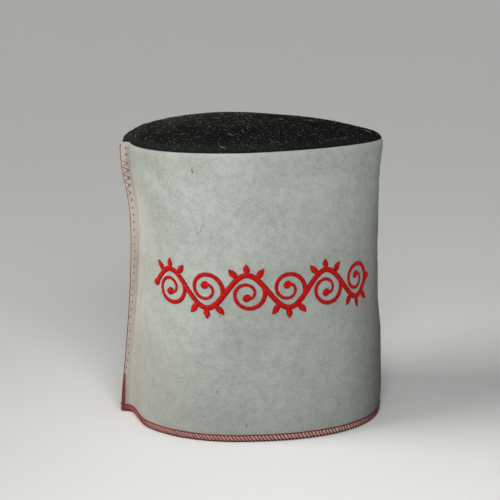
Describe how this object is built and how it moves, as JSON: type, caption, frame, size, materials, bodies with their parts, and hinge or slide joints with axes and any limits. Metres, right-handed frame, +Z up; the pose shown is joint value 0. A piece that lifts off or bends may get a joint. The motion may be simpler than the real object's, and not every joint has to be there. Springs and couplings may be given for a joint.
{
  "type": "papakha hat",
  "caption": "Tall felt papakha with a grey-white wall, a dark domed crown, red thread over the hem and side seam, and an embroidered red vine.",
  "frame": {"origin": "bottom centre of the hat's box, on the surface that the hem stands on", "axes": "+Z up through the crown, -Y towards the embroidered front, -X towards the side seam"},
  "size_m": [0.2198, 0.1806, 0.2476],
  "materials": {
    "grey_felt": "matte felt",
    "dark_felt": "matte felt",
    "red_thread": "wrapped sewing thread",
    "red_satin": "satin stitch with a soft sheen"
  },
  "bodies": {
    "root": {"side_wall": "grey_felt", "crown": "dark_felt", "hem_edging": "red_thread", "seam_edging": "red_thread", "front_embroidery": "red_satin"}
  },
  "joints": []
}
